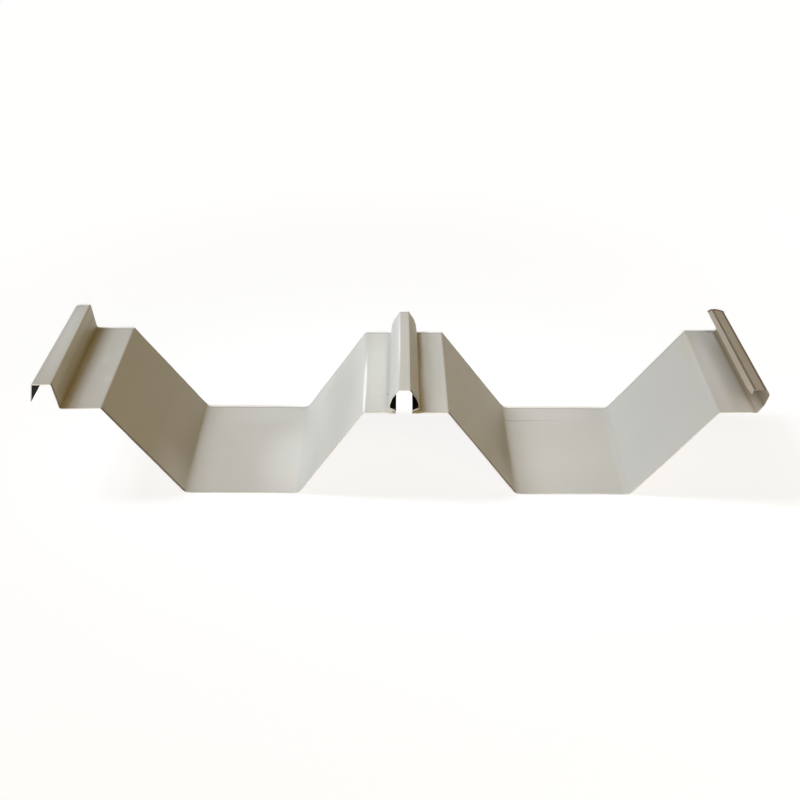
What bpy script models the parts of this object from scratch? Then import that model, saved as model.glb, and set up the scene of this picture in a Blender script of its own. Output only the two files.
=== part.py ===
# Roof decking sheet with two deep troughs
#
# A short sample of a roll-formed, colour-coated steel roof sheet, 666 mm cover.
# It is one piece of strip: two trapezoid troughs, with a standing rib on each of
# the three crests. The left rib is a cap with a free leg, and the right rib is a
# hook. They lap with those of the next sheets. The middle rib is a hollow bulb
# that takes the head of a roof clip.
#
# X runs across the sheet, Y along it and Z up. The sheet lies on its two trough
# floors, with the origin at the bottom centre of its bounding box.

import math

import bmesh
import bpy
from mathutils import Matrix, Vector

MM = 0.001

# Sheet, in millimetres. Heights are measured from a face to the same face.
THICKNESS = 0.8
SAMPLE_LENGTH = 170.0
PITCH = 333.0
TROUGH_DEPTH = 95.0
TROUGH_FLOOR = 113.0
SLOPE_RUN = 70.5
CREASE_RADIUS = 2.6
RIB_RADIUS = 1.9

# Middle rib: a bulb with an open neck, sizes to the middle of the sheet
BULB_HEIGHT = 24.6
BULB_NECK = 16.0
BULB_FOLD = 2.2
BULB_WIDTH = 27.8
BULB_UNDERCUT = 4.6
BULB_SIDE = 4.0
BULB_SHOULDER_WIDTH = 22.8
BULB_SHOULDER_DROP = 8.6
BULB_TOP = 10.5
BULB_RADIUS = 12.0
FOLD_RADIUS = 1.0

# Left rib: a cap with one leg on the crest and one that hangs free
CAP_HEIGHT = 27.2
CAP_TOP = 15.2
CAP_ROOT_INSET = 1.2
CAP_LEG_LEAN = 3.8
CAP_FREE_LEG_DROP = 18.6
CAP_FREE_LEG_SPLAY = 5.2

# Right rib: a hook that leans out, turns over and ends in a rolled lip
HOOK_HEIGHT = 24.6
HOOK_ROOT_INSET = 0.6
HOOK_FLARE = 6.6
HOOK_FLARE_HEIGHT = 8.4
HOOK_BULGE = 9.3
HOOK_SHOULDER_DROP = 4.6
HOOK_SHOULDER_INSET = 2.3
HOOK_BAND = 11.0
HOOK_BAND_TILT = 9.0
HOOK_GROOVE = 1.5
HOOK_GROOVE_DEPTH = 1.1
HOOK_LIP = 4.9
HOOK_LIP_DROP = 2.6

# Steps in each bend, and the most of a run that a bend may take
BEND_STEPS = 4
BEND_SHARE = 0.45

COAT_COLOUR = (0.60, 0.59, 0.55, 1.0)
COAT_ROUGHNESS = 0.42
COAT_METALLIC = 0.0
SHARP_DEGREES = 35.0


def clear_scene():
    """Remove what the file opened with."""
    for obj in list(bpy.data.objects):
        bpy.data.objects.remove(obj, do_unlink=True)


def new_collection(name):
    """Make a collection for the object."""
    collection = bpy.data.collections.new(name)
    bpy.context.scene.collection.children.link(collection)
    return collection


def coat_material():
    """Off-white coil coating."""
    material = bpy.data.materials.new("off_white_coat")
    material.use_nodes = True
    shader = material.node_tree.nodes["Principled BSDF"]
    shader.inputs["Base Color"].default_value = COAT_COLOUR
    shader.inputs["Roughness"].default_value = COAT_ROUGHNESS
    shader.inputs["Metallic"].default_value = COAT_METALLIC
    return material


def trough_corners(centre, crest, floor):
    """Corners of one trough with their radii, from its left top to its right top."""
    half_floor = TROUGH_FLOOR / 2
    half_mouth = half_floor + SLOPE_RUN
    return [
        (centre - half_mouth, crest, CREASE_RADIUS),
        (centre - half_floor, floor, CREASE_RADIUS),
        (centre + half_floor, floor, CREASE_RADIUS),
        (centre + half_mouth, crest, CREASE_RADIUS),
    ]


def bulb_corners(crest):
    """Corners of the middle rib with their radii, from its left root to its right root."""
    top = crest + BULB_HEIGHT
    right_half = [
        (BULB_NECK / 2, crest, FOLD_RADIUS),
        (BULB_NECK / 2, crest + BULB_FOLD, FOLD_RADIUS),
        (BULB_WIDTH / 2, crest + BULB_UNDERCUT, RIB_RADIUS),
        (BULB_WIDTH / 2, crest + BULB_UNDERCUT + BULB_SIDE, BULB_RADIUS),
        (BULB_SHOULDER_WIDTH / 2, top - BULB_SHOULDER_DROP, BULB_RADIUS),
        (BULB_TOP / 2, top, RIB_RADIUS),
    ]
    left_half = [(-x, z, radius) for x, z, radius in right_half]
    return left_half + right_half[::-1]


def cap_corners(crest):
    """Corners of the left rib with their radii, from its free edge to its root."""
    root = -PITCH + CAP_ROOT_INSET
    top_right = root - CAP_LEG_LEAN
    top_left = top_right - CAP_TOP
    top = crest + CAP_HEIGHT
    return [
        (top_left - CAP_FREE_LEG_SPLAY, top - CAP_FREE_LEG_DROP, RIB_RADIUS),
        (top_left, top, RIB_RADIUS),
        (top_right, top, RIB_RADIUS),
        (root, crest, CREASE_RADIUS),
    ]


def hook_corners(crest):
    """Corners of the right rib with their radii, from its root to the edge of its lip."""
    root = PITCH - HOOK_ROOT_INSET
    outer = root + HOOK_BULGE
    top = crest + HOOK_HEIGHT
    shoulder = outer - HOOK_SHOULDER_INSET
    band_drop = HOOK_BAND * math.tan(math.radians(HOOK_BAND_TILT))
    band_left = shoulder - HOOK_BAND
    groove = band_left - HOOK_GROOVE
    bead = groove - HOOK_GROOVE
    lip = bead - HOOK_LIP
    return [
        (root, crest, CREASE_RADIUS),
        (root + HOOK_FLARE, crest + HOOK_FLARE_HEIGHT, RIB_RADIUS),
        (outer, top - band_drop - HOOK_SHOULDER_DROP, RIB_RADIUS),
        (shoulder, top - band_drop, RIB_RADIUS),
        (band_left, top, RIB_RADIUS),
        (groove, top - HOOK_GROOVE_DEPTH, RIB_RADIUS),
        (bead, top, RIB_RADIUS),
        (lip, top - HOOK_LIP_DROP, RIB_RADIUS),
    ]


def bend(before, corner, after):
    """Points of the arc that rounds one corner, tangent to the runs on both sides."""
    corner_point = Vector(corner[:2])
    back = Vector(before[:2]) - corner_point
    ahead = Vector(after[:2]) - corner_point
    half_angle = back.angle(ahead) / 2
    longest_reach = min(back.length, ahead.length) * BEND_SHARE
    reach = min(corner[2] / math.tan(half_angle), longest_reach)
    radius = reach * math.tan(half_angle)
    back.normalize()
    ahead.normalize()
    centre = corner_point + (back + ahead).normalized() * (radius / math.sin(half_angle))
    start = corner_point + back * reach - centre
    end = corner_point + ahead * reach - centre
    turn = end.angle_signed(start)
    steps = [turn * step / BEND_STEPS for step in range(BEND_STEPS + 1)]
    return [centre + Matrix.Rotation(angle, 2) @ start for angle in steps]


def sheet_profile():
    """Middle line of the sheet across its width, left to right, in millimetres."""
    floor = THICKNESS / 2
    crest = floor + TROUGH_DEPTH
    corners = cap_corners(crest)
    corners += trough_corners(-PITCH / 2, crest, floor)
    corners += bulb_corners(crest)
    corners += trough_corners(PITCH / 2, crest, floor)
    corners += hook_corners(crest)
    points = [Vector(corners[0][:2])]
    for before, corner, after in zip(corners, corners[1:], corners[2:]):
        points += bend(before, corner, after)
    points.append(Vector(corners[-1][:2]))
    return points


def outer_edges(profile):
    """Left and right reach of the sheet's faces, with half the thickness each side."""
    lefts, rights = [], []
    for start, end in zip(profile, profile[1:]):
        along = (end - start).normalized()
        half = abs(along.y) * THICKNESS / 2
        lefts.append(min(start.x, end.x) - half)
        rights.append(max(start.x, end.x) + half)
    return min(lefts), max(rights)


def decking_sheet(collection):
    """The sheet: its middle line drawn out along Y, then given its thickness."""
    profile = sheet_profile()
    left, right = outer_edges(profile)
    middle = (left + right) / 2

    shape = bmesh.new()
    line = [
        shape.verts.new(((point.x - middle) * MM, -SAMPLE_LENGTH / 2 * MM, point.y * MM))
        for point in profile
    ]
    edges = [shape.edges.new(pair) for pair in zip(line, line[1:])]
    drawn = bmesh.ops.extrude_edge_only(shape, edges=edges)
    far_line = [item for item in drawn["geom"] if isinstance(item, bmesh.types.BMVert)]
    bmesh.ops.translate(shape, verts=far_line, vec=(0.0, SAMPLE_LENGTH * MM, 0.0))
    shape.normal_update()

    mesh = bpy.data.meshes.new("decking_sheet")
    shape.to_mesh(mesh)
    shape.free()
    mesh.materials.append(coat_material())
    sheet = bpy.data.objects.new("decking_sheet", mesh)
    collection.objects.link(sheet)

    wall = sheet.modifiers.new("sheet_thickness", "SOLIDIFY")
    wall.thickness = THICKNESS * MM
    wall.offset = 0.0
    wall.use_even_offset = True
    wall.use_rim = True
    mesh.shade_smooth()
    mesh.set_sharp_from_angle(angle=math.radians(SHARP_DEGREES))
    return sheet


def main():
    clear_scene()
    collection = new_collection("roof_decking_sheet")
    decking_sheet(collection)


main()
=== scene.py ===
"""Looks of the roof decking sheet: a short cut sample of coil-coated steel.

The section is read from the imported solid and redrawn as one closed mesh, with the
small irregularities of a cut sample: bends that have sprung, flats that aren't quite
flat, a hook lip that the cut rolled down, a crease in the cap and a burr along the
cuts. It has three finishes: the off-white top coat, the backing coat and the cut edge.
"""

import math

import bpy
import numpy as np
from mathutils import Matrix, Vector, noise


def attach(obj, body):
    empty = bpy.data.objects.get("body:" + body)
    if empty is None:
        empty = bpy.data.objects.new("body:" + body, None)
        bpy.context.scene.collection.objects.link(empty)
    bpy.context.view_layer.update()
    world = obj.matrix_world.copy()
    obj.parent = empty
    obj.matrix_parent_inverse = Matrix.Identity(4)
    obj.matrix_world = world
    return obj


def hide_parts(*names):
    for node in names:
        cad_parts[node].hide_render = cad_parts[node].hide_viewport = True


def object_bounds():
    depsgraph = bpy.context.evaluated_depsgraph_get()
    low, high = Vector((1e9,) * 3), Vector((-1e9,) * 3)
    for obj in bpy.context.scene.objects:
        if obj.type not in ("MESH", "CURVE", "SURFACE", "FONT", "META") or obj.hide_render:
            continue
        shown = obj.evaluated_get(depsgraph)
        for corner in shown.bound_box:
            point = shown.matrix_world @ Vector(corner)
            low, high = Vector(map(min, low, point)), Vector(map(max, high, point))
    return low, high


MM = 0.001

# Camera, fitted to the corners of the photograph's cut edges
PHOTO_SIZE = 800
PHOTO_FOCAL = 1180.0
CAMERA_PLACE = (0.5 * MM, -1048.5 * MM, 674.5 * MM)
CAMERA_DOWN = 30.44
CAMERA_ROLL = 0.24
CAMERA_CLIP_START = 0.05
SENSOR_WIDTH = 36.0

# Sheet as the part's source draws it
TROUGH_DEPTH = 95.0 * MM
RIB_HEIGHT = 24.6 * MM
LIP_LENGTH = 5.6 * MM

# Depth within which a corner belongs to the cut face, and digits of a metre to which its place is kept
SAME_PLANE = 0.01 * MM
CORNER_DIGITS = 6

# Least turn that counts as a bend, and least turn of a sharp one
BEND_TURN = 0.02
SHARP_TURN = 0.05

# Where the crests, the ribs and the hook's outer side are in the section
CREST_BAND = 3.0 * MM
RIB_REACH = 20.0 * MM
CAP_LENGTH = 49.0 * MM
CAP_LEG_WIDTH = 5.5 * MM
BULB_FOOT = 1.2 * MM
BULB_SIDE = 10.0 * MM
HOOK_SIDE_DEPTH = 3.2 * MM
HOOK_SIDE_BASE = 18.0 * MM

# Bends beside the trough floors, which look softer than the ribs' bends
FLOOR_BEND_TOP = 5.0 * MM
FLOOR_BEND_REACH = 5.5 * MM
FLOOR_BEND_STEPS = 10
BEND_STEP_MOST = 3.0 * MM

# Mesh steps, and the rows next to a cut end
FLAT_STEP = 4.0 * MM
BESIDE_BEND = 0.7 * MM
LENGTH_STEP = 4.0 * MM
END_ROWS = (0.0, 0.4 * MM, 1.0 * MM, 2.0 * MM, 3.5 * MM)
SHARP_ANGLE = 40.0

# Spring of each bend in mm: its place, then sideways and up at the near end and at the far end
SPRUNG_BENDS = {
    "cap, free edge": (-348.8, -1.2, 0.4, 0.0, 2.0),
    "cap, top left": (-343.6, -3.2, 0.6, 0.0, 2.0),
    "cap, top right": (-328.4, 0.6, 1.2, -0.8, 2.3),
    "cap, root": (-324.5, 1.5, 1.6, -1.0, 2.4),
    "left crest, right edge": (-286.5, 2.0, 2.6, 0.5, 2.6),
    "left floor, left edge": (-216.0, 4.0, 0.0, 2.0, 0.0),
    "left floor, right edge": (-103.0, 2.5, 0.0, 1.0, 0.0),
    "middle crest, left edge": (-32.5, -2.2, -1.0, -4.5, -1.4),
    "bulb, left side": (-7.0, -2.8, -1.0, -2.8, -1.4),
    "bulb, right side": (21.0, -2.4, -1.0, -2.8, -1.4),
    "middle crest, right edge": (47.0, 0.0, -0.8, -2.0, -1.2),
    "right floor, left edge": (117.0, -0.6, 0.0, -2.0, 0.0),
    "right floor, right edge": (230.0, -1.4, 0.0, -0.2, 0.0),
    "right crest, left edge": (300.5, 4.2, 0.6, 4.6, 1.8),
    "hook, root": (339.5, 1.0, 1.0, -1.6, 2.2),
    "hook, outer side": (347.0, 0.0, 1.6, -2.0, 1.4),
}

# Smaller irregularities
FLAT_WAVE = 0.4 * MM
FLAT_WAVE_LENGTH = 75.0 * MM
FLAT_MARGIN = 9.0 * MM
FLAT_CENTRE = 26.0 * MM
BULB_SPREAD_NEAR = 0.3 * MM
BULB_PINCH_FAR = 1.5 * MM
BULB_END_REACH = 22.0 * MM
LIP_TURN = 52.0
LIP_TURN_REACH = 15.0 * MM
BURR_HEIGHT = 0.28 * MM
BURR_REACH = 1.4 * MM
BURR_LUMP = 9.0 * MM
BURR_UNEVEN = 0.5
CUT_WANDER = 0.25 * MM
CUT_WANDER_LENGTH = 14.0 * MM
CUT_WANDER_FADE = 4.0 * MM
ROOT_DISH = 0.85 * MM
ROOT_DISH_RUN = 3.4 * MM
ROOT_DISH_EDGE = 18.0 * MM

# Crease in the cap's top: height, width, fade at its near end, and its route in mm, far end first
CREASE_HEIGHT = 0.5 * MM
CREASE_WIDTH = 2.6 * MM
CREASE_FADE = 12.0 * MM
CREASE_ROUTE = (
    (85.0, -337.5),
    (62.0, -336.0),
    (45.0, -334.5),
    (28.0, -333.0),
    (12.0, -334.0),
    (0.0, -336.0),
)

# Painted shade at the foot of the cap: how far it reaches over the crest and up the leg, and how
# strong
CAP_SHADE_REACH = 12.0 * MM
CAP_SHADE_STRENGTH = 0.1
LEG_SHADE_REACH = 22.0 * MM
LEG_SHADE_STRENGTH = 0.72

# Painted shade in and beside the hook, under its overhang, and how much lighter it is next to the cuts
HOOK_SHADE_REACH = 32.0 * MM
HOOK_SHADE_STRENGTH = 0.64
HOOK_SHADE_FALLOFF = 1.5
HOOK_SHADE_FLAT = 2.5 * MM
LESS_SHADE_NEAR_REACH = 40.0 * MM
LESS_SHADE_NEAR_CREST = 0.9
LESS_SHADE_NEAR_HOOK = 0.5
LESS_SHADE_FAR_REACH = 60.0 * MM
LESS_SHADE_FAR_CREST = 0.75

# Noise of the flats, the burr and the cuts
FLAT_SEED = 4.0
BURR_SEED = 2.0
CUT_SEED = 7.0
NEAR_END_SEED = 1.0
FAR_END_SEED = 5.0

TOP_COAT, BACKING_COAT, CUT_EDGE = range(3)

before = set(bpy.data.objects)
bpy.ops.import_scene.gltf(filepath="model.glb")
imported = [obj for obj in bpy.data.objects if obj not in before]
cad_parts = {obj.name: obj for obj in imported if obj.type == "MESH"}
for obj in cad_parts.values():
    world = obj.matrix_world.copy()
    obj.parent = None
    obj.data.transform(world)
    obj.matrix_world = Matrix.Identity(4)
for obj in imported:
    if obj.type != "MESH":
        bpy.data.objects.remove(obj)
cad_low, cad_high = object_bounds()


# Section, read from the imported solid

def near_end_loop(obj):
    """Outline of the near cut face, as ordered (x, z) points."""
    mesh = obj.data
    near = min(vertex.co.y for vertex in mesh.vertices)
    point_of = {}
    for vertex in mesh.vertices:
        if vertex.co.y - near < SAME_PLANE:
            place = (round(vertex.co.x, CORNER_DIGITS), round(vertex.co.z, CORNER_DIGITS))
            point_of[vertex.index] = place
    uses = {}
    for face in mesh.polygons:
        if all(index in point_of for index in face.vertices):
            corners = [point_of[index] for index in face.vertices]
            for pair in zip(corners, corners[1:] + corners[:1]):
                edge = frozenset(pair)
                uses[edge] = uses.get(edge, 0) + 1
    ahead = {}
    for edge, count in uses.items():
        if count == 1:
            first, second = edge
            ahead.setdefault(first, []).append(second)
            ahead.setdefault(second, []).append(first)
    loop = [min(ahead)]
    before = None
    while len(loop) < len(ahead):
        here = loop[-1]
        step = [point for point in ahead[here] if point != before][0]
        before = here
        loop.append(step)
    return np.array(loop)


def middle_line(loop):
    """Middle line of the sheet from left to right, and its thickness, from that outline."""
    half = len(loop) // 2
    best = None
    for turn in range(len(loop)):
        turned = np.roll(loop, -turn, axis=0)
        one, other = turned[:half], turned[half:][::-1]
        gap = np.linalg.norm(one - other, axis=1)
        if best is None or gap.max() < best[0]:
            best = (gap.max(), gap.min(), (one + other) / 2)
    line = best[2]
    return (line if line[0, 0] < line[-1, 0] else line[::-1]), best[1]


def unit(vector):
    """The same direction with length 1."""
    return vector / np.linalg.norm(vector)


def rounded_corner(before, first, last, after):
    """Wide bend between the runs that end a narrow one, tangent to both."""
    ahead = unit(first - before)
    behind = unit(last - after)
    reach = np.linalg.solve(np.stack([ahead, -behind], axis=1), after - before)[0]
    corner = before + ahead * reach
    start = corner - ahead * FLOOR_BEND_REACH
    end = corner + unit(after - corner) * FLOOR_BEND_REACH
    points = []
    for part in np.linspace(0, 1, FLOOR_BEND_STEPS + 1):
        points.append(start * (1 - part) ** 2 + corner * 2 * part * (1 - part) + end * part ** 2)
    return points


def softer_floor_bends(line):
    """The line with wider bends where the slopes meet the trough floors."""
    _, turns = headings(line)
    in_bend = (turns > BEND_TURN) & (line[:, 1] < FLOOR_BEND_TOP)
    points, index = [], 0
    while index < len(line):
        if not in_bend[index]:
            points.append(line[index])
            index += 1
            continue
        last = index
        while in_bend[last + 1] and np.linalg.norm(line[last + 1] - line[last]) < BEND_STEP_MOST:
            last += 1
        points += rounded_corner(line[index - 1], line[index], line[last], line[last + 1])
        index = last + 1
    return np.array(points)


def finer(line):
    """Split the long straight runs, so that they can take a slight wave."""
    points = [line[0]]
    for start, end in zip(line, line[1:]):
        run = np.linalg.norm(end - start)
        if run > FLAT_STEP:
            inner = run - 2 * BESIDE_BEND
            parts = math.ceil(inner / FLAT_STEP)
            stops = [BESIDE_BEND + inner * part / parts for part in range(parts + 1)]
            points += [start + (end - start) * stop / run for stop in stops]
        points.append(end)
    return np.array(points)


def headings(line):
    """Direction of each run of a line, and how far it turns at each point."""
    steps = np.diff(line, axis=0)
    angles = np.unwrap(np.arctan2(steps[:, 1], steps[:, 0]))
    return angles, np.concatenate([[0.0], np.diff(angles), [0.0]])


def square_to(line):
    """Offsets of one metre towards the upper face, square to the runs on both sides of each point."""
    angles, turns = headings(line)
    middle = np.concatenate([[angles[0]], (angles[1:] + angles[:-1]) / 2, [angles[-1]]])
    normal = np.stack([-np.sin(middle), np.cos(middle)], axis=1)
    return normal / np.cos(turns / 2)[:, None]


def smooth(low, high, value):
    """0 at low, 1 at high and a soft step between, in either direction."""
    part = np.clip((value - low) / (high - low), 0.0, 1.0)
    return part * part * (3 - 2 * part)


def wave(x, y, seed):
    """Soft noise between about -1 and 1."""
    return noise.noise(Vector((x, y, seed)))


class Section:
    """The sheet's middle line, with what each of its points needs to know."""

    def __init__(self, obj):
        corners, self.thickness = middle_line(near_end_loop(obj))
        self.line = finer(softer_floor_bends(corners))
        lengths = np.linalg.norm(np.diff(self.line, axis=0), axis=1)
        self.along = np.concatenate([[0.0], np.cumsum(lengths)])
        _, turns = headings(self.line)
        self.from_bend = self.distance(np.abs(turns) > BEND_TURN)
        x, z = self.line.T
        self.on_floor = z < self.thickness
        self.axis = (x[self.on_floor].min() + x[self.on_floor].max()) / 2
        self.on_crest = np.abs(z - TROUGH_DEPTH) < CREST_BAND
        rising = (turns > SHARP_TURN) & self.on_crest & (x > RIB_REACH * 2)
        self.hook_root = x[rising].mean()
        self.in_hook = self.along > self.along[rising].max()
        self.from_groove = self.distance((turns < -SHARP_TURN) & self.in_hook)
        outermost = self.in_hook & (x > x.max() - HOOK_SIDE_DEPTH)
        self.from_outer_side = self.distance(outermost & (z > TROUGH_DEPTH + HOOK_SIDE_BASE))
        self.in_cap = self.along < CAP_LENGTH
        self.in_bulb = (np.abs(x - self.axis) < RIB_REACH) & (z > TROUGH_DEPTH + BULB_FOOT)

    def distance(self, chosen):
        """Distance along the section from each point to the nearest chosen one."""
        return np.abs(self.along[:, None] - self.along[chosen][None, :]).min(axis=1)


# Irregularities of one row of the sheet, most of them as offsets in (x, z)

def sprung_bends(section, part):
    """Where the bends have opened or closed, from the near end (0) to the far end (1)."""
    places, *springs = np.array(list(SPRUNG_BENDS.values())).T * MM
    x = section.line[:, 0]
    near_x, near_z, far_x, far_z = [np.interp(x, places, spring) for spring in springs]
    sideways = near_x * (1 - part) + far_x * part
    up = near_z * (1 - part) + far_z * part
    return np.stack([sideways, up], axis=1)


def flat_wave(section, y):
    """Wide flats that pull slightly out of plane, and only upwards on a trough floor."""
    reach = smooth(FLAT_MARGIN, FLAT_CENTRE, section.from_bend)
    row = y / FLAT_WAVE_LENGTH
    lift = np.array([wave(s / FLAT_WAVE_LENGTH, row, FLAT_SEED) for s in section.along])
    lift = np.where(section.on_floor, (lift + 1) / 2, lift)
    return square_to(section.line) * (lift * reach * FLAT_WAVE)[:, None]


def bulb_ends(section, near, far):
    """The bulb, spread a little at its near end and pinched at its far end."""
    amount = BULB_SPREAD_NEAR * math.exp(-near / BULB_END_REACH)
    amount -= BULB_PINCH_FAR * math.exp(-far / BULB_END_REACH)
    side = np.clip((section.line[:, 0] - section.axis) / BULB_SIDE, -1, 1) * section.in_bulb
    return np.stack([side * amount, np.zeros_like(side)], axis=1)


def root_dish(section):
    """Shallow step in the crest on both sides of the middle rib, left by its rollers."""
    x = np.abs(section.line[:, 0] - section.axis)
    depth = ROOT_DISH * smooth(ROOT_DISH_EDGE, ROOT_DISH_EDGE - ROOT_DISH_RUN, x) * section.on_crest
    return np.stack([np.zeros_like(depth), -depth], axis=1)


def cap_crease(section, y):
    """Bent crease that wanders along the top of the cap towards its far end."""
    ys, xs = np.array(CREASE_ROUTE[::-1]).T * MM
    place = np.interp(y, ys, xs)
    on_top = section.in_cap & (section.line[:, 1] > TROUGH_DEPTH + RIB_HEIGHT)
    ridge = 1 - np.clip(np.abs(section.line[:, 0] - place) / CREASE_WIDTH, 0, 1)
    height = CREASE_HEIGHT * ridge * smooth(ys[0], ys[0] + CREASE_FADE, y) * on_top
    return np.stack([np.zeros_like(height), height], axis=1)


def rolled_lip(section, line, near):
    """The line with the hook's lip rolled down at the near cut."""
    total = section.along[-1]
    first = int(np.argmax(section.along > total - LIP_LENGTH))
    angle = math.radians(LIP_TURN) * float(smooth(LIP_TURN_REACH, 0.0, near))
    spin = np.array([[math.cos(angle), math.sin(angle)], [-math.sin(angle), math.cos(angle)]])
    line[first:] = line[first] + (line[first:] - line[first]) @ spin
    return line


def burr(section, line, from_end, seed):
    """Last millimetre of the sheet, turned a little by the cut: up on a floor, down elsewhere."""
    near = max(0.0, 1 - from_end / BURR_REACH) ** 2
    lumps = np.array([wave(s / BURR_LUMP, seed, BURR_SEED) for s in section.along])
    turned = np.where(section.on_floor, 1.0, -1.0) * (1 + BURR_UNEVEN * lumps)
    return square_to(line) * (turned * near * BURR_HEIGHT)[:, None]


def cut_line(section, from_end, seed):
    """How far the cut wanders along the sheet at each point of the section."""
    fade = CUT_WANDER * math.exp(-from_end / CUT_WANDER_FADE)
    return np.array([abs(fade * wave(s / CUT_WANDER_LENGTH, seed, CUT_SEED)) for s in section.along])


# Mesh of the sheet

def row_places():
    """Places of the rows along the sheet, closer together next to the cut ends."""
    inner = [cad_low.y + END_ROWS[-1], cad_high.y - END_ROWS[-1]]
    parts = math.ceil((inner[1] - inner[0]) / LENGTH_STEP)
    rows = [cad_low.y + stop for stop in END_ROWS[:-1]]
    rows += list(np.linspace(inner[0], inner[1], parts + 1))
    rows += [cad_high.y - stop for stop in reversed(END_ROWS[:-1])]
    return rows


def sheet_rows(section):
    """Points of the top and the bottom face, one row for each place along the sheet."""
    tops, bottoms = [], []
    for y in row_places():
        near, far = y - cad_low.y, cad_high.y - y
        from_end, seed, inward = (near, NEAR_END_SEED, 1) if near < far else (far, FAR_END_SEED, -1)
        line = section.line + sprung_bends(section, near / (near + far))
        line += flat_wave(section, y) + bulb_ends(section, near, far)
        line += root_dish(section) + cap_crease(section, y)
        line = rolled_lip(section, line, near)
        line += burr(section, line, from_end, seed)
        ys = y + inward * cut_line(section, from_end, seed)
        half = square_to(line) * section.thickness / 2
        for face, side in ((tops, 1), (bottoms, -1)):
            points = line + half * side
            face.append(np.column_stack([points[:, 0], ys, points[:, 1]]))
    return np.array(tops), np.array(bottoms)


def grid_quads(rows, columns, offset, flip):
    """Quads of one face of the sheet."""
    quads = []
    for row in range(rows - 1):
        for column in range(columns - 1):
            corner = offset + row * columns + column
            quad = (corner, corner + 1, corner + columns + 1, corner + columns)
            quads.append(quad[::-1] if flip else quad)
    return quads


def rim_quads(rows, columns):
    """Quads of the four cut edges, between the top and the bottom face."""
    below = rows * columns
    last = (rows - 1) * columns
    near = list(range(columns))
    right = [row * columns + columns - 1 for row in range(rows)]
    far = [last + column for column in reversed(range(columns))]
    left = [row * columns for row in reversed(range(rows))]
    quads = []
    for side in (near, right, far, left):
        quads += [(here, here + below, ahead + below, ahead) for here, ahead in zip(side, side[1:])]
    return quads


def shade_beside_cap(section):
    """Painted shade at the foot of the cap, dark up the lower part of its leg and fading over the
    crest beside it.
    """
    x, z = section.line.T
    root = x[section.in_cap].max()
    beside = section.on_crest & (x > root)
    crest = smooth(CAP_SHADE_REACH, 0.0, x - root) * beside * CAP_SHADE_STRENGTH
    on_leg = section.in_cap & (x > root - CAP_LEG_WIDTH)
    leg = smooth(LEG_SHADE_REACH, 0.0, z - TROUGH_DEPTH) * on_leg * LEG_SHADE_STRENGTH
    return np.clip(crest + leg, 0, 1)


def shade_beside_hook(section, y):
    """Painted shade at one row of the sheet, brown, inside the hook and fading over the crest beside
    it, lighter towards the cuts.
    """
    x = section.line[:, 0]
    near = float(smooth(LESS_SHADE_NEAR_REACH, 0.0, y - cad_low.y))
    far = float(smooth(LESS_SHADE_FAR_REACH, 0.0, cad_high.y - y))
    fade = smooth(HOOK_SHADE_REACH, 0.0, section.hook_root - x) * section.on_crest * (x > 0)
    crest = fade ** HOOK_SHADE_FALLOFF * HOOK_SHADE_STRENGTH
    crest *= (1 - LESS_SHADE_NEAR_CREST * near) * (1 - LESS_SHADE_FAR_CREST * far)
    inside = section.in_hook | (x > section.hook_root - HOOK_SHADE_FLAT)
    return np.where(inside, 1 - LESS_SHADE_NEAR_HOOK * near, crest)


def store(mesh, name, values):
    """Keep one number for each vertex where a material can read it."""
    mesh.attributes.new(name, "FLOAT", "POINT").data.foreach_set("value", np.ravel(values))


def store_places(mesh, section, vertices):
    """What the materials read: distances from the cuts and bends, painted shade at the cap's foot and
    by the hook, and the way a slope faces.
    """
    copies = len(vertices) // len(section.line)
    store(mesh, "from_near_cut", vertices[:, 1] - cad_low.y)
    store(mesh, "from_far_cut", cad_high.y - vertices[:, 1])
    store(mesh, "cap_foot_shade", np.tile(shade_beside_cap(section), copies))
    hook_shade = [shade_beside_hook(section, y) for y in row_places()]
    store(mesh, "hook_shade", np.array(hook_shade * 2))
    store(mesh, "from_outer_side", np.tile(section.from_outer_side, copies))
    store(mesh, "from_groove", np.tile(section.from_groove, copies))
    in_ribs = (section.in_cap | section.in_bulb).astype(float)
    store(mesh, "in_rib", np.tile(in_ribs, copies))
    slope = np.gradient(section.line[:, 1], section.along) * ~section.in_hook
    store(mesh, "rising", np.tile(np.clip(slope, 0, 1), copies))
    store(mesh, "falling", np.tile(np.clip(-slope, 0, 1), copies))


def sheet_mesh(section):
    """Closed mesh of the sheet, with its finishes."""
    tops, bottoms = sheet_rows(section)
    rows, columns = tops.shape[:2]
    sides = {
        TOP_COAT: grid_quads(rows, columns, 0, False),
        BACKING_COAT: grid_quads(rows, columns, rows * columns, True),
        CUT_EDGE: rim_quads(rows, columns),
    }
    quads = [quad for side in sides.values() for quad in side]
    kinds = [kind for kind, side in sides.items() for _ in side]
    vertices = np.concatenate([tops.reshape(-1, 3), bottoms.reshape(-1, 3)])
    mesh = bpy.data.meshes.new("coated_sheet")
    mesh.from_pydata(vertices.tolist(), [], quads)
    mesh.polygons.foreach_set("material_index", kinds)
    store_places(mesh, section, vertices)
    mesh.shade_smooth()
    mesh.set_sharp_from_angle(angle=math.radians(SHARP_ANGLE))
    return mesh


# Materials

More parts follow.
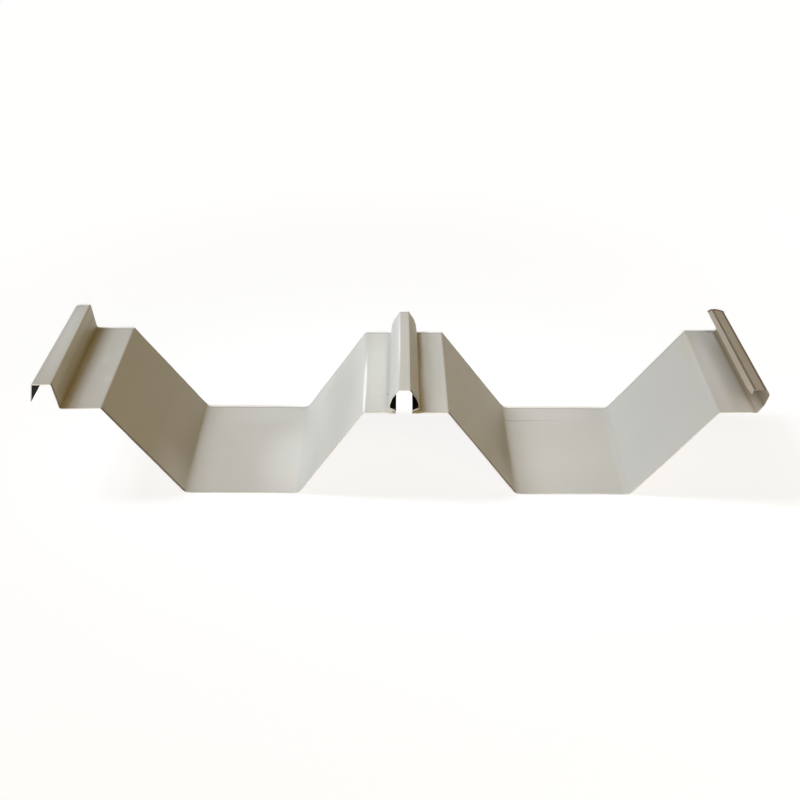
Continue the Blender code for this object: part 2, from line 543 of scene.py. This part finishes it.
# Noises: lumps to the metre, detail and, where they are drawn out along the sheet, how they stretch
ALONG_SHEET = (1.0, 0.03, 1.0)
PARTLY_ALONG = (1.0, 0.35, 1.0)
COAT_BLOTCHES = (9.0, 3.0)
COAT_STREAKS = (260.0, 3.0, ALONG_SHEET)
COAT_SPECKS = (420.0, 2.0)
COAT_PEEL = (900.0, 1.0)
COAT_ROLL_LINES = (500.0, 2.0, ALONG_SHEET)
COAT_SHINE = (28.0, 3.0)
WIDE_PATCH_LUMPS = (12.0, 2.0)
SMALL_PATCH_LUMPS = (140.0, 2.0)
CAP_SHADE_PATCHES = (40.0, 3.0, PARTLY_ALONG)
RAGGED_BANDS = (60.0, 2.0)
BACKING_BLOTCHES = (14.0, 3.0)
BACKING_STREAKS = (420.0, 3.0, ALONG_SHEET)
BACKING_GRAIN = (700.0, 2.0)
BACKING_SHINE = (40.0, 2.0)
EDGE_DARK_PATCHES = (120.0, 2.0)
EDGE_GRAIN = (1500.0, 1.0)
EDGE_SHINE = (200.0, 2.0)

# Colours
COAT_DARK = (0.555, 0.545, 0.505)
COAT_LIGHT = (0.635, 0.62, 0.57)
# Painted shade, a khaki tint, on the slopes that face right
SHADED_SLOPE_COLOUR = (0.355, 0.295, 0.15)
# Painted shade, a darker grey, on the slopes that rise to the right and face the key lights
LIT_SLOPE_SHADE = (0.36, 0.35, 0.325)
# Painted shade at the foot of the cap, dark olive
CAP_FOOT_SHADE_COLOUR = (0.20, 0.165, 0.11)
# Painted shade in and beside the hook, brown
HOOK_SHADE_COLOUR = (0.27, 0.215, 0.14)
SPECK_COLOUR = (0.36, 0.32, 0.24)
EDGE_LIGHT = (0.93, 0.92, 0.90)
EDGE_DARK = (0.15, 0.125, 0.09)
BACKING_COLOUR = (0.50, 0.45, 0.38)
BACKING_DARK = (0.38, 0.32, 0.25)
# Painted shade along the hook's groove and outer side
HOOK_GROOVE_SHADE = (0.16, 0.13, 0.09)
# Painted light inside the bulb, a grey lighter than the painted shade there
BULB_LIT_GREY = (0.15, 0.145, 0.115)
# Painted shade inside the ribs, near black
RIB_CAVITY_SHADE = (0.014, 0.013, 0.012)
BARE_STEEL = (0.82, 0.83, 0.83)
# Rust colour, also used as painted shade on the cut edge of the slopes that face right and at the hook
RUST_AND_SHADE = (0.16, 0.10, 0.05)
WHITE = (1.0, 1.0, 1.0, 1.0)

# How much of each layer shows where it is in full
STREAK_SHARE = 0.25
SPECK_SHARE = 0.35
LIT_SLOPE_SHADE_SHARE = 0.28
SHADED_SLOPE_SHARE = 0.72
BACKING_STREAK_SHARE = 0.4
GROOVE_SHADE_SHARE = 0.7
OUTER_SIDE_SHARE = 0.85
FAR_RUST_SHARE = 0.8
RUST_ALL_OVER = 0.05
DARK_WHERE_SHADED = 0.8

# Values at which a layer starts to show and shows in full: of its noise, or of what the mesh keeps
STREAKS_SHOW = (0.55, 0.8)
SPECKS_SHOW = (0.71, 0.76)
BACKING_STREAKS_SHOW = (0.48, 0.66)
FALLING_SHOWS = (0.4, 0.7)
RISING_SHOWS = (0.05, 0.5)
RIB_SHOWS = (0.3, 0.7)
HOOK_SHADE_SHOWS = (0.15, 0.45)

# Least and most of a layer's strength as its noise varies
PATCH_SPREAD = (0.6, 1.3)
CAP_SHADE_SPREAD = (0.6, 1.25)
EDGE_DARK_SPREAD = (0.5, 1.2)

# Roughness of each finish, least and most, and how much is added where shade is painted at the cap's
# foot and inside the ribs
COAT_ROUGHNESS = (0.40, 0.50)
BACKING_ROUGHNESS = (0.46, 0.6)
EDGE_ROUGHNESS = (0.4, 0.65)
CAP_SHADE_ROUGHENS = 0.3
RIB_CAVITY_ROUGHENS = 0.35

# Relief of each finish: height and strength, and how much the roll lines add to the top coat's
COAT_RELIEF = (0.02 * MM, 0.6)
BACKING_RELIEF = (0.03 * MM, 0.6)
EDGE_RELIEF = (0.05 * MM, 0.8)
ROLL_LINES_SHARE = 0.8

# Gloss over the top coat, shine of the backing coat and metal in the cut edge
COAT_GLOSS = 0.05
COAT_GLOSS_ROUGHNESS = 0.2
BACKING_SPECULAR = 0.15
EDGE_METALLIC = 0.4

# Painted shade on the slopes that face right, eased low down and by the near cut: heights and
# distances from the near cut over which the easing grows, and its least and most
SHADED_SLOPE_LOW_BAND = (50.0 * MM, 8.0 * MM)
SHADED_SLOPE_NEAR_BAND = (70.0 * MM, 6.0 * MM)
SHADED_SLOPE_EASING = (0.10, 0.62)

# Painted shade along the hook's groove and outer side, and rust by the far cut, on the backing coat:
# how far away each starts to show and shows in full
GROOVE_BAND = (1.6 * MM, 0.5 * MM)
OUTER_SIDE_BAND = (2.8 * MM, 0.8 * MM)
FAR_RUST_BAND = (5.0 * MM, 1.0 * MM)

# Bands beside the cuts: how ragged, where each one ends and how strong it is
RAGGED = 0.5 * MM
FAR_LIGHT_BAND = (4.2 * MM, 3.2 * MM)
FAR_LIGHT_SHARE = 0.95
DARK_LINE_START = (3.4 * MM, 4.4 * MM)
DARK_LINE_END = (6.2 * MM, 4.6 * MM)
DARK_LINE_SHARE = 0.4
SHADED_EDGE_BAND = (2.8 * MM, 1.2 * MM)
SHADED_EDGE_SHARE = 0.85

# Faint mark across the right trough: its place, how it starts and fades out across, and its edges
MARK_FROM_FAR_CUT = 31.0 * MM
MARK_STARTS = (112.0 * MM, 116.0 * MM)
MARK_FADES = (205.0 * MM, 112.0 * MM)
MARK_EDGE = (1.2 * MM, 0.3 * MM)
MARK_SHARE = 0.4

# Stains, and soft patches of painted light, painted shade and painted highlight, that the photograph
# shows: centre and size in mm, colour and strength
STAINS_AND_PAINTED_LIGHT = {
    # Stains and spots on the coat
    "yellowed patch, right crest": ((303.0, 55.0, 94.0), (17.0, 34.0, 16.0), (0.60, 0.56, 0.42), 0.55),
    "mark beside the hook": ((331.0, 82.0, 97.0), (7.0, 6.0, 6.0), (0.20, 0.13, 0.07), 0.8),
    "speck beside the bulb": ((-11.5, -50.0, 94.5), (1.4, 2.8, 4.0), (0.22, 0.18, 0.14), 0.7),
    "fainter speck beside it": ((-16.5, -54.0, 95.0), (1.2, 1.6, 4.0), (0.30, 0.26, 0.20), 0.5),
    "pale spot, left crest": ((-300.0, 12.0, 98.0), (5.0, 16.0, 8.0), (0.74, 0.73, 0.70), 0.5),
    "nearer pale spot": ((-290.0, -28.0, 98.0), (6.0, 9.0, 8.0), (0.74, 0.73, 0.70), 0.4),
    "pale spot, left trough": ((-96.0, 66.0, 4.0), (3.0, 10.0, 9.0), (0.78, 0.76, 0.70), 0.7),
    "dull spot above it": ((-72.0, 42.0, 40.0), (24.0, 26.0, 24.0), (0.52, 0.50, 0.45), 0.5),
    # Painted light and painted shade: lighter and darker patches that stand in for how the light falls
    # over the troughs, crests, cap and bulb
    "left trough, right corner": ((-112.0, -35.0, 8.0), (45.0, 90.0, 36.0), (0.80, 0.80, 0.77), 0.5),
    "middle crest, left part": ((-22.0, 0.0, 95.0), (18.0, 140.0, 9.0), (0.76, 0.76, 0.72), 0.45),
    "cap top": ((-336.0, 20.0, 123.0), (13.0, 140.0, 9.0), (0.74, 0.74, 0.72), 0.6),
    "bulb's right foot": ((20.5, 0.0, 95.0), (10.0, 160.0, 6.0), (0.88, 0.91, 0.95), 1.1),
    "left trough, right slope": ((-60.0, 0.0, 66.0), (42.0, 140.0, 48.0), (0.43, 0.42, 0.38), 0.75),
    "right trough, right slope": ((258.0, 0.0, 48.0), (88.0, 180.0, 84.0), (0.50, 0.495, 0.47), 0.4),
    "left crest": ((-304.0, 0.0, 98.0), (17.0, 130.0, 9.0), (0.50, 0.48, 0.45), 0.35),
    "bulb top": ((4.8, 10.0, 120.0), (9.0, 170.0, 6.0), (0.53, 0.515, 0.465), 0.8),
    "left floor, far part": ((-158.0, 72.0, 3.0), (64.0, 40.0, 6.0), (0.70, 0.69, 0.66), 0.6),
    "right floor, far part": ((174.0, 72.0, 3.0), (64.0, 40.0, 6.0), (0.70, 0.69, 0.66), 0.6),
    "right crest, left part": ((313.0, -5.0, 96.0), (14.0, 150.0, 8.0), (0.73, 0.725, 0.705), 0.6),
    "bulb's left flank": ((-6.0, 0.0, 109.0), (8.0, 170.0, 13.0), (0.50, 0.49, 0.455), 0.95),
    "middle crest, right part": ((36.0, 10.0, 95.0), (14.0, 150.0, 6.0), (0.49, 0.475, 0.43), 0.85),
    "bulb's left foot": ((-11.6, 0.0, 95.5), (2.8, 140.0, 3.0), (0.40, 0.40, 0.39), 0.6),
    # Painted highlights along two bends
    "painted highlight, middle crest bend": ((-34.2, -40.0, 95.0), (2.3, 90.0, 3.2), (0.95, 0.94, 0.91), 1.3),
    "painted highlight, bulb's top bend": ((-0.4, 20.0, 119.6), (1.8, 110.0, 2.4), (0.90, 0.89, 0.87), 0.9),
}

# Share of a patch's size up to which it has its full strength
PATCH_CORE = 0.2

# Size in mm past which a patch has soft lumps
WIDE_PATCH = 30.0

# Painted light inside the bulb, behind its near cut, a lighter grey over its painted shade: centre and
# size in mm
BULB_LIT_PATCH = ((17.5, -83.0, 101.0), (5.0, 7.0, 5.0))

# Colour sockets of a mix node: first, second and result
MIX_FIRST, MIX_SECOND, MIX_RESULT = 6, 7, 2


class Graph:
    """Short calls for the nodes of one material."""

    def __init__(self, name):
        self.material = bpy.data.materials.new(name)
        self.material.use_nodes = True
        self.tree = self.material.node_tree
        self.shader = self.tree.nodes["Principled BSDF"]
        self.place = self.node("ShaderNodeTexCoord").outputs["Object"]

    def node(self, kind, **settings):
        """New node, with its settings."""
        node = self.tree.nodes.new(kind)
        for name, value in settings.items():
            setattr(node, name, value)
        return node

    def put(self, socket, value):
        """Link or set one input."""
        if isinstance(value, bpy.types.NodeSocket):
            self.tree.links.new(value, socket)
        elif isinstance(value, tuple) and socket.type == "RGBA":
            socket.default_value = (*value, 1.0)
        else:
            socket.default_value = value

    def math(self, operation, *values):
        """Result of a sum on numbers."""
        node = self.node("ShaderNodeMath", operation=operation)
        for socket, value in zip(node.inputs, values):
            self.put(socket, value)
        return node.outputs[0]

    def times(self, *factors):
        """Product of numbers."""
        product = factors[0]
        for factor in factors[1:]:
            product = self.math("MULTIPLY", product, factor)
        return product

    def step(self, value, low, high):
        """0 at low and 1 at high, with a soft step between."""
        node = self.node("ShaderNodeMapRange", interpolation_type="SMOOTHSTEP")
        for name, given in (("Value", value), ("From Min", low), ("From Max", high)):
            self.put(node.inputs[name], given)
        return node.outputs["Result"]

    def between(self, value, low, high):
        """Value from 0 to 1 spread over low to high."""
        node = self.node("ShaderNodeMapRange")
        for name, given in (("Value", value), ("To Min", low), ("To Max", high)):
            self.put(node.inputs[name], given)
        return node.outputs["Result"]

    def blend(self, amount, first, second):
        """Colour between two colours."""
        node = self.node("ShaderNodeMix", data_type="RGBA")
        self.put(node.inputs["Factor"], amount)
        self.put(node.inputs[MIX_FIRST], first)
        self.put(node.inputs[MIX_SECOND], second)
        return node.outputs[MIX_RESULT]

    def noise(self, lumps, detail, stretch=(1.0, 1.0, 1.0)):
        """Noise from 0 to 1, with so many lumps to the metre."""
        mapping = self.node("ShaderNodeMapping")
        self.put(mapping.inputs["Vector"], self.place)
        mapping.inputs["Scale"].default_value = stretch
        node = self.node("ShaderNodeTexNoise")
        self.put(node.inputs["Vector"], mapping.outputs["Vector"])
        node.inputs["Scale"].default_value = lumps
        node.inputs["Detail"].default_value = detail
        return node.outputs["Fac"]

    def kept(self, name):
        """Number that the mesh keeps for each vertex."""
        node = self.node("ShaderNodeAttribute", attribute_type="GEOMETRY", attribute_name=name)
        return node.outputs["Fac"]

    def along(self, axis):
        """Place along one axis of the sheet."""
        node = self.node("ShaderNodeSeparateXYZ")
        self.put(node.inputs[0], self.place)
        return node.outputs[axis]

    def spot(self, centre, size):
        """1 at a place on the sheet and 0 beyond its size, which may differ each way."""
        mapping = self.node("ShaderNodeMapping")
        self.put(mapping.inputs["Vector"], self.place)
        mapping.inputs["Scale"].default_value = tuple(1 / (value * MM) for value in size)
        shift = tuple(-place / reach for place, reach in zip(centre, size))
        mapping.inputs["Location"].default_value = shift
        length = self.node("ShaderNodeVectorMath", operation="LENGTH")
        self.put(length.inputs[0], mapping.outputs["Vector"])
        return self.step(length.outputs["Value"], 1.0, PATCH_CORE)

    def bump(self, height, distance, strength):
        """Relief of so many metres on the shader."""
        node = self.node("ShaderNodeBump")
        node.inputs["Strength"].default_value = strength
        node.inputs["Distance"].default_value = distance
        self.put(node.inputs["Height"], height)
        self.put(self.shader.inputs["Normal"], node.outputs["Normal"])

    def finish(self, colour, roughness):
        """Colour and roughness to the shader."""
        self.put(self.shader.inputs["Base Color"], colour)
        self.put(self.shader.inputs["Roughness"], roughness)
        return self.material


def on_falling_slope(graph):
    """1 on the slopes that face right, and 0 elsewhere."""
    return graph.step(graph.kept("falling"), *FALLING_SHOWS)


def cut_bands(graph, colour):
    """Coat beside the cuts: a light band with a dark line inside it at the far one, left off the
    slopes that face right, and painted shade as dark edges along both cuts of those slopes.
    """
    from_far, from_near = graph.kept("from_far_cut"), graph.kept("from_near_cut")
    ragged = graph.between(graph.noise(*RAGGED_BANDS), -RAGGED, RAGGED)
    falling = on_falling_slope(graph)
    level = graph.math("SUBTRACT", 1.0, falling)
    far = graph.math("ADD", from_far, ragged)
    # Light band along the far cut, with a dark line inside it, left off the slopes that face right
    band = graph.times(graph.step(far, *FAR_LIGHT_BAND), level)
    colour = graph.blend(graph.times(band, FAR_LIGHT_SHARE), colour, EDGE_LIGHT)
    line = graph.times(graph.step(far, *DARK_LINE_START), graph.step(far, *DARK_LINE_END), level)
    colour = graph.blend(graph.times(line, DARK_LINE_SHARE), colour, EDGE_DARK)
    nearest = graph.math("MINIMUM", far, graph.math("ADD", from_near, ragged))
    # Painted shade along both cuts of the slopes that face right
    shaded_edge = graph.times(graph.step(nearest, *SHADED_EDGE_BAND), falling)
    return graph.blend(graph.times(shaded_edge, SHADED_EDGE_SHARE), colour, EDGE_DARK)


def cross_mark(graph, colour):
    """Faint dark mark across the right trough, fading to the right."""
    off = graph.math("ABSOLUTE", graph.math("SUBTRACT", graph.kept("from_far_cut"), MARK_FROM_FAR_CUT))
    x = graph.along("X")
    fade = graph.times(graph.step(x, *MARK_STARTS), graph.step(x, *MARK_FADES))
    amount = graph.times(graph.step(off, *MARK_EDGE), fade)
    return graph.blend(graph.times(amount, MARK_SHARE), colour, EDGE_DARK)


def stains_and_painted_light(graph, colour):
    """The colour with every stain and every patch of painted light, painted shade and painted
    highlight over it, each with a ragged strength.
    """
    for centre, size, tone, strength in STAINS_AND_PAINTED_LIGHT.values():
        lumps = WIDE_PATCH_LUMPS if max(size) > WIDE_PATCH else SMALL_PATCH_LUMPS
        ragged = graph.between(graph.noise(*lumps), *PATCH_SPREAD)
        amount = graph.times(graph.spot(centre, size), ragged, strength)
        colour = graph.blend(graph.math("MINIMUM", amount, 1.0), colour, tone)
    return colour


def shade_on_falling_slopes(graph):
    """Share of painted shade, a khaki tint, on the slopes that face right, less low down and least by
    the near cut.
    """
    low = graph.step(graph.along("Z"), *SHADED_SLOPE_LOW_BAND)
    near = graph.step(graph.kept("from_near_cut"), *SHADED_SLOPE_NEAR_BAND)
    eased = graph.times(low, graph.between(near, *SHADED_SLOPE_EASING))
    return graph.times(on_falling_slope(graph), graph.math("SUBTRACT", SHADED_SLOPE_SHARE, eased))


def top_coat():
    """Off-white polyester coat: soft gloss, stains, patches of painted light and painted shade, and
    painted shade on the slopes, by the cap and by the hook.
    """
    graph = Graph("top_coat")
    colour = graph.blend(graph.noise(*COAT_BLOTCHES), COAT_DARK, COAT_LIGHT)
    streaks = graph.step(graph.noise(*COAT_STREAKS), *STREAKS_SHOW)
    colour = graph.blend(graph.times(streaks, STREAK_SHARE), colour, COAT_DARK)
    # Stains, and patches of painted light, painted shade and painted highlight
    colour = stains_and_painted_light(graph, colour)
    # Painted shade over the slopes that rise to the right
    rising = graph.step(graph.kept("rising"), *RISING_SHOWS)
    colour = graph.blend(graph.times(rising, LIT_SLOPE_SHADE_SHARE), colour, LIT_SLOPE_SHADE)
    # Painted shade, a khaki tint, over the slopes that face right
    colour = graph.blend(shade_on_falling_slopes(graph), colour, SHADED_SLOPE_COLOUR)
    # Painted shade at the foot of the cap, patchy, which also roughens the coat there
    patchy = graph.between(graph.noise(*CAP_SHADE_PATCHES), *CAP_SHADE_SPREAD)
    cap_foot_shade = graph.times(graph.kept("cap_foot_shade"), patchy)
    colour = graph.blend(cap_foot_shade, colour, CAP_FOOT_SHADE_COLOUR)
    # Painted shade in and beside the hook
    colour = graph.blend(graph.kept("hook_shade"), colour, HOOK_SHADE_COLOUR)
    specks = graph.step(graph.noise(*COAT_SPECKS), *SPECKS_SHOW)
    colour = graph.blend(graph.times(specks, SPECK_SHARE), colour, SPECK_COLOUR)
    colour = cross_mark(graph, cut_bands(graph, colour))
    roll_lines = graph.times(graph.noise(*COAT_ROLL_LINES), ROLL_LINES_SHARE)
    graph.bump(graph.math("ADD", graph.noise(*COAT_PEEL), roll_lines), *COAT_RELIEF)
    graph.shader.inputs["Coat Weight"].default_value = COAT_GLOSS
    graph.shader.inputs["Coat Roughness"].default_value = COAT_GLOSS_ROUGHNESS
    clean = graph.between(graph.noise(*COAT_SHINE), *COAT_ROUGHNESS)
    return graph.finish(colour, graph.math("ADD", clean, graph.times(cap_foot_shade, CAP_SHADE_ROUGHENS)))


def backing_coat():
    """Thin dull grey-beige coat under the sheet, with painted shade inside the ribs and along the
    hook's groove and outer side, a patch of painted light inside the bulb, and rust by the far cut.
    """
    graph = Graph("backing_coat")
    colour = graph.blend(graph.noise(*BACKING_BLOTCHES), BACKING_DARK, BACKING_COLOUR)
    streaks = graph.step(graph.noise(*BACKING_STREAKS), *BACKING_STREAKS_SHOW)
    colour = graph.blend(graph.times(streaks, BACKING_STREAK_SHARE), colour, BACKING_DARK)
    # Painted shade along the hook's groove
    groove = graph.step(graph.kept("from_groove"), *GROOVE_BAND)
    colour = graph.blend(graph.times(groove, GROOVE_SHADE_SHARE), colour, HOOK_GROOVE_SHADE)
    # Painted shade along the hook's outer side
    side = graph.step(graph.kept("from_outer_side"), *OUTER_SIDE_BAND)
    colour = graph.blend(graph.times(side, OUTER_SIDE_SHARE), colour, HOOK_GROOVE_SHADE)
    # Painted shade inside the ribs, which also roughens the coat there
    colour = graph.blend(graph.step(graph.kept("in_rib"), *RIB_SHOWS), colour, RIB_CAVITY_SHADE)
    # Painted light inside the bulb, by its near cut
    colour = graph.blend(graph.spot(*BULB_LIT_PATCH), colour, BULB_LIT_GREY)
    far = graph.step(graph.kept("from_far_cut"), *FAR_RUST_BAND)
    colour = graph.blend(graph.times(far, FAR_RUST_SHARE), colour, RUST_AND_SHADE)
    graph.bump(graph.noise(*BACKING_GRAIN), *BACKING_RELIEF)
    graph.shader.inputs["Specular IOR Level"].default_value = BACKING_SPECULAR
    clean = graph.between(graph.noise(*BACKING_SHINE), *BACKING_ROUGHNESS)
    rib_cavity = graph.times(graph.kept("in_rib"), RIB_CAVITY_ROUGHENS)
    return graph.finish(colour, graph.math("ADD", clean, rib_cavity))


def cut_edge():
    """Sheared steel with the zinc smeared over it, a little rust all along, and painted shade in rust
    colour on the slopes that face right and at the hook.
    """
    graph = Graph("cut_edge")
    # Painted shade in rust colour where the slope faces right and at the hook, over a little rust all
    # along
    at_hook = graph.step(graph.kept("hook_shade"), *HOOK_SHADE_SHOWS)
    shaded_edge = graph.math("MAXIMUM", on_falling_slope(graph), at_hook)
    patchy = graph.between(graph.noise(*EDGE_DARK_PATCHES), *EDGE_DARK_SPREAD)
    rust_and_shade = graph.math("ADD", graph.times(shaded_edge, DARK_WHERE_SHADED), RUST_ALL_OVER)
    colour = graph.blend(graph.math("MINIMUM", graph.times(rust_and_shade, patchy), 1.0), BARE_STEEL, RUST_AND_SHADE)
    graph.bump(graph.noise(*EDGE_GRAIN), *EDGE_RELIEF)
    graph.shader.inputs["Metallic"].default_value = EDGE_METALLIC
    return graph.finish(colour, graph.between(graph.noise(*EDGE_SHINE), *EDGE_ROUGHNESS))


def add_sheet():
    """The dressed sheet, in place of the solid."""
    section = Section(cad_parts["decking_sheet"])
    sheet = bpy.data.objects.new("coated_sheet", sheet_mesh(section))
    bpy.context.scene.collection.objects.link(sheet)
    for material in (top_coat(), backing_coat(), cut_edge()):
        sheet.data.materials.append(material)
    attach(sheet, "root")
    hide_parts("decking_sheet")


# Studio

SHEET_MIDDLE = (0.0, 0.0, 0.05)

# Cool key lights at the upper left, steeper and weaker in turn: place in metres and power
KEY_BANK = (
    ((-1.80, 0.3, 2.15), 205.0),
    ((-1.38, 0.3, 2.50), 190.0),
    ((-0.85, 0.3, 2.75), 54.0),
)
KEY_TARGET = (0.04, 0.0, 0.05)
KEY_COLOUR = (0.84, 0.905, 0.985)
KEY_CONE = 22.0
KEY_RADIUS = 0.35

# Weak warm fills: place, width, height, power and colour
FILLS = {
    "warm_front": ((0.4, -2.4, 1.5), 2.4, 1.2, 28.0, (1.0, 0.61, 0.12)),
    "warm_right": ((2.4, 0.2, 1.2), 1.2, 1.2, 4.5, (1.0, 0.74, 0.1)),
    "warm_left": ((-2.4, 0.2, 0.9), 1.2, 1.2, 3.0, (1.0, 0.6, 0.1)),
}

# Floor of glowing paper, in metres
FLOOR_HALF = 30.0
FLOOR_GAP = 0.3 * MM
PAPER = (0.22, 0.22, 0.22)
PAPER_ROUGHNESS = 0.9
GLOW_NEAR = 0.84
GLOW_FAR = 0.985
GLOW_NEAR_REACH = 0.25
GLOW_FAR_REACH = 0.9

# Backdrop: sine of the height where it starts and stops to fade, and its light before and after
BACKDROP_FADE = {"From Min": 0.04, "From Max": 0.14, "To Min": 1.0, "To Max": 0.01}


def add_camera():
    """The photograph's camera, looking along the sheet and down."""
    data = bpy.data.cameras.new("photo_camera")
    data.sensor_width = SENSOR_WIDTH
    data.lens = PHOTO_FOCAL / PHOTO_SIZE * SENSOR_WIDTH
    data.clip_start = CAMERA_CLIP_START
    camera = bpy.data.objects.new("photo_camera", data)
    tilt = Matrix.Rotation(math.radians(90 - CAMERA_DOWN), 3, "X")
    roll = Matrix.Rotation(math.radians(CAMERA_ROLL), 3, "Z")
    camera.rotation_euler = (tilt @ roll).to_euler()
    camera.location = CAMERA_PLACE
    bpy.context.scene.collection.objects.link(camera)
    bpy.context.scene.camera = camera


def add_light(name, kind, place, target, power, colour):
    """Light that looks at a point."""
    data = bpy.data.lights.new(name, kind)
    data.energy = power
    data.color = colour
    light = bpy.data.objects.new(name, data)
    light.location = place
    light.rotation_euler = (Vector(target) - Vector(place)).to_track_quat("-Z", "Y").to_euler()
    bpy.context.scene.collection.objects.link(light)
    return data


def floor_paper():
    """Paper that glows white as if lit from behind, more so away from the sheet."""
    graph = Graph("floor_paper")
    away = graph.node("ShaderNodeVectorMath", operation="LENGTH")
    graph.put(away.inputs[0], graph.place)
    glow = graph.step(away.outputs["Value"], GLOW_NEAR_REACH, GLOW_FAR_REACH)
    graph.put(graph.shader.inputs["Emission Strength"], graph.between(glow, GLOW_NEAR, GLOW_FAR))
    graph.shader.inputs["Emission Color"].default_value = WHITE
    return graph.finish(PAPER, PAPER_ROUGHNESS)


def add_floor():
    """Pale paper floor, just under the sheet."""
    mesh = bpy.data.meshes.new("floor")
    half = FLOOR_HALF
    corners = [(-half, -half, 0), (half, -half, 0), (half, half, 0), (-half, half, 0)]
    mesh.from_pydata(corners, [], [(0, 1, 2, 3)])
    mesh.materials.append(floor_paper())
    floor = bpy.data.objects.new("floor", mesh)
    floor.location.z = cad_low.z - FLOOR_GAP
    bpy.context.scene.collection.objects.link(floor)


def add_lights():
    """The bank of key lights, and the fills from the front and both sides."""
    for number, (place, power) in enumerate(KEY_BANK, start=1):
        key = add_light(f"key_{number}", "SPOT", place, KEY_TARGET, power, KEY_COLOUR)
        key.spot_size = math.radians(KEY_CONE)
        key.spot_blend = 1.0
        key.shadow_soft_size = KEY_RADIUS
    for name, (place, width, height, power, colour) in FILLS.items():
        fill = add_light(name, "AREA", place, SHEET_MIDDLE, power, colour)
        fill.shape = "RECTANGLE"
        fill.size = width
        fill.size_y = height
    bpy.context.scene.view_settings.view_transform = "Standard"


def add_backdrop():
    """Pale backdrop that ends just above the floor's horizon, with a dark studio over it."""
    world = bpy.data.worlds.new("studio")
    world.use_nodes = True
    tree = world.node_tree
    direction = tree.nodes.new("ShaderNodeTexCoord")
    parts = tree.nodes.new("ShaderNodeSeparateXYZ")
    fade = tree.nodes.new("ShaderNodeMapRange")
    fade.interpolation_type = "SMOOTHSTEP"
    for name, value in BACKDROP_FADE.items():
        fade.inputs[name].default_value = value
    background = tree.nodes["Background"].inputs
    background["Color"].default_value = WHITE
    tree.links.new(direction.outputs["Generated"], parts.inputs[0])
    tree.links.new(parts.outputs["Z"], fade.inputs["Value"])
    tree.links.new(fade.outputs["Result"], background["Strength"])
    bpy.context.scene.world = world


add_sheet()
add_camera()
add_floor()
add_lights()
add_backdrop()
